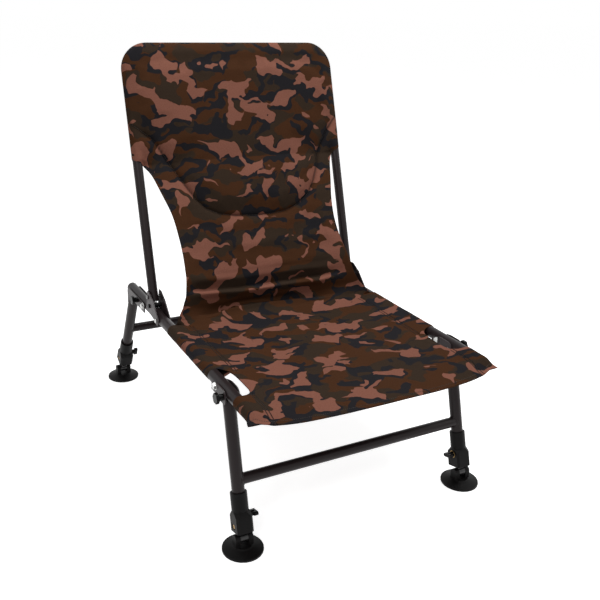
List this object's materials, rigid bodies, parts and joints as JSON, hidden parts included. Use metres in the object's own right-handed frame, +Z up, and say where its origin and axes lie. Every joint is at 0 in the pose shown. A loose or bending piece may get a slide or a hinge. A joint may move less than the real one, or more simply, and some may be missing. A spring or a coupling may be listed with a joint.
{
  "type": "folding fishing chair",
  "caption": "Low folding carp fishing chair with a sling seat and padded back in camouflage cloth, telescopic legs and swivelling mud feet.",
  "frame": {"origin": "middle of the chair's extent in X and Y, on the floor under the feet", "axes": "+X to the right seen from the front, +Y to the rear, +Z up"},
  "size_m": [0.605, 0.903, 0.8952],
  "materials": {
    "frame_coating": "satin dark bronze-grey powder coat",
    "black_plastic": "matte moulded",
    "plug_plastic": "satin moulded",
    "bolt_steel": "zinc plated",
    "inner_leg": "dark coated",
    "camouflage_cloth": "woven polyester with a printed leaf and branch pattern"
  },
  "bodies": {
    "seat_frame": {"seat_rail_left": "frame_coating", "seat_rail_right": "frame_coating", "rail_front_plug_left": "black_plastic", "rail_front_plug_right": "black_plastic", "rail_rear_plug_left": "plug_plastic", "rail_rear_plug_right": "plug_plastic", "leg_pivot_bolt_front_left": "bolt_steel", "leg_pivot_bolt_front_right": "bolt_steel", "leg_pivot_bolt_rear_left": "bolt_steel", "leg_pivot_bolt_rear_right": "bolt_steel", "back_pivot_bolt_left": "bolt_steel", "back_pivot_bolt_right": "bolt_steel", "seat_cover": "camouflage_cloth"},
    "backrest": {"back_plate_left_outer": "frame_coating", "back_plate_left_inner": "frame_coating", "back_plate_right_outer": "frame_coating", "back_plate_right_inner": "frame_coating", "back_tube_left": "frame_coating", "back_tube_right": "frame_coating", "back_top_bow": "frame_coating", "back_tube_bolt_left": "bolt_steel", "back_tube_bolt_right": "bolt_steel", "back_stop_bolt_left": "bolt_steel", "back_stop_bolt_right": "bolt_steel", "back_cover": "camouflage_cloth", "lower_back_cover": "camouflage_cloth"},
    "front_legs": {"leg_plate_front_left_outer": "frame_coating", "leg_plate_front_left_inner": "frame_coating", "leg_plate_front_right_outer": "frame_coating", "leg_plate_front_right_inner": "frame_coating", "front_leg_left": "frame_coating", "front_leg_right": "frame_coating", "front_cross_bar": "frame_coating", "leg_adjuster_front_left": "black_plastic", "leg_adjuster_front_right": "black_plastic"},
    "rear_legs": {"leg_plate_rear_left_outer": "frame_coating", "leg_plate_rear_left_inner": "frame_coating", "leg_plate_rear_right_outer": "frame_coating", "leg_plate_rear_right_inner": "frame_coating", "rear_leg_left": "frame_coating", "rear_leg_right": "frame_coating", "rear_cross_bar": "frame_coating", "leg_adjuster_rear_left": "black_plastic", "leg_adjuster_rear_right": "black_plastic"},
    "lock_knob_front_left": {"lock_knob_front_left": "black_plastic"},
    "adjuster_screw_front_left": {"adjuster_screw_front_left": "black_plastic"},
    "leg_extension_front_left": {"leg_extension_front_left": "inner_leg"},
    "foot_front_left": {"foot_front_left": "black_plastic"},
    "lock_knob_front_right": {"lock_knob_front_right": "black_plastic"},
    "adjuster_screw_front_right": {"adjuster_screw_front_right": "black_plastic"},
    "leg_extension_front_right": {"leg_extension_front_right": "inner_leg"},
    "foot_front_right": {"foot_front_right": "black_plastic"},
    "lock_knob_rear_left": {"lock_knob_rear_left": "black_plastic"},
    "adjuster_screw_rear_left": {"adjuster_screw_rear_left": "black_plastic"},
    "leg_extension_rear_left": {"leg_extension_rear_left": "inner_leg"},
    "foot_rear_left": {"foot_rear_left": "black_plastic"},
    "lock_knob_rear_right": {"lock_knob_rear_right": "black_plastic"},
    "adjuster_screw_rear_right": {"adjuster_screw_rear_right": "black_plastic"},
    "leg_extension_rear_right": {"leg_extension_rear_right": "inner_leg"},
    "foot_rear_right": {"foot_rear_right": "black_plastic"}
  },
  "joints": [
    {"name": "backrest_fold", "type": "hinge", "parent": "seat_frame", "child": "backrest", "pos_m": [0, 0.06599, 0.301], "axis": [1, 0, 0], "range_deg": [0, 105], "deforming": ["lower_back_cover"]},
    {"name": "front_leg_fold", "type": "hinge", "parent": "seat_frame", "child": "front_legs", "pos_m": [0, -0.27701, 0.301], "axis": [1, 0, 0], "range_deg": [0, 97]},
    {"name": "rear_leg_fold", "type": "hinge", "parent": "seat_frame", "child": "rear_legs", "pos_m": [0, 0.164, 0.301], "axis": [1, 0, 0], "range_deg": [-100, 0]},
    {"name": "leg_slide_front_left", "type": "slide", "parent": "front_legs", "child": "leg_extension_front_left", "axis": [0, -0.2639, -0.9646], "range_m": [0, 0.11]},
    {"name": "foot_tilt_front_left", "type": "hinge", "parent": "leg_extension_front_left", "child": "foot_front_left", "pos_m": [-0.262, -0.37804, 0.026], "axis": [1, 0, 0], "range_deg": [-35, 35]},
    {"name": "knob_turn_front_left", "type": "hinge", "parent": "front_legs", "child": "lock_knob_front_left", "pos_m": [-0.262, -0.314, 0.296], "axis": [1, 0, 0], "range_deg": [0, 1080]},
    {"name": "screw_turn_front_left", "type": "hinge", "parent": "front_legs", "child": "adjuster_screw_front_left", "pos_m": [-0.262, -0.36695, 0.06651], "axis": [1, 0, 0], "range_deg": [0, 1080]},
    {"name": "leg_slide_front_right", "type": "slide", "parent": "front_legs", "child": "leg_extension_front_right", "axis": [0, -0.2639, -0.9646], "range_m": [0, 0.11]},
    {"name": "foot_tilt_front_right", "type": "hinge", "parent": "leg_extension_front_right", "child": "foot_front_right", "pos_m": [0.262, -0.37804, 0.026], "axis": [1, 0, 0], "range_deg": [-35, 35]},
    {"name": "knob_turn_front_right", "type": "hinge", "parent": "front_legs", "child": "lock_knob_front_right", "pos_m": [0.262, -0.314, 0.296], "axis": [1, 0, 0], "range_deg": [0, 1080]},
    {"name": "screw_turn_front_right", "type": "hinge", "parent": "front_legs", "child": "adjuster_screw_front_right", "pos_m": [0.262, -0.36695, 0.06651], "axis": [1, 0, 0], "range_deg": [0, 1080]},
    {"name": "leg_slide_rear_left", "type": "slide", "parent": "rear_legs", "child": "leg_extension_rear_left", "axis": [0, 0.4462, -0.8949], "range_m": [0, 0.11]},
    {"name": "foot_tilt_rear_left", "type": "hinge", "parent": "leg_extension_rear_left", "child": "foot_rear_left", "pos_m": [-0.262, 0.41101, 0.026], "axis": [1, 0, 0], "range_deg": [-35, 35]},
    {"name": "knob_turn_rear_left", "type": "hinge", "parent": "rear_legs", "child": "lock_knob_rear_left", "pos_m": [-0.262, 0.201, 0.304], "axis": [1, 0, 0], "range_deg": [0, 1080]},
    {"name": "screw_turn_rear_left", "type": "hinge", "parent": "rear_legs", "child": "adjuster_screw_rear_left", "pos_m": [-0.262, 0.38334, 0.08149], "axis": [1, 0, 0], "range_deg": [0, 1080]},
    {"name": "leg_slide_rear_right", "type": "slide", "parent": "rear_legs", "child": "leg_extension_rear_right", "axis": [0, 0.4462, -0.8949], "range_m": [0, 0.11]},
    {"name": "foot_tilt_rear_right", "type": "hinge", "parent": "leg_extension_rear_right", "child": "foot_rear_right", "pos_m": [0.262, 0.41101, 0.026], "axis": [1, 0, 0], "range_deg": [-35, 35]},
    {"name": "knob_turn_rear_right", "type": "hinge", "parent": "rear_legs", "child": "lock_knob_rear_right", "pos_m": [0.262, 0.201, 0.304], "axis": [1, 0, 0], "range_deg": [0, 1080]},
    {"name": "screw_turn_rear_right", "type": "hinge", "parent": "rear_legs", "child": "adjuster_screw_rear_right", "pos_m": [0.262, 0.38334, 0.08149], "axis": [1, 0, 0], "range_deg": [0, 1080]}
  ]
}
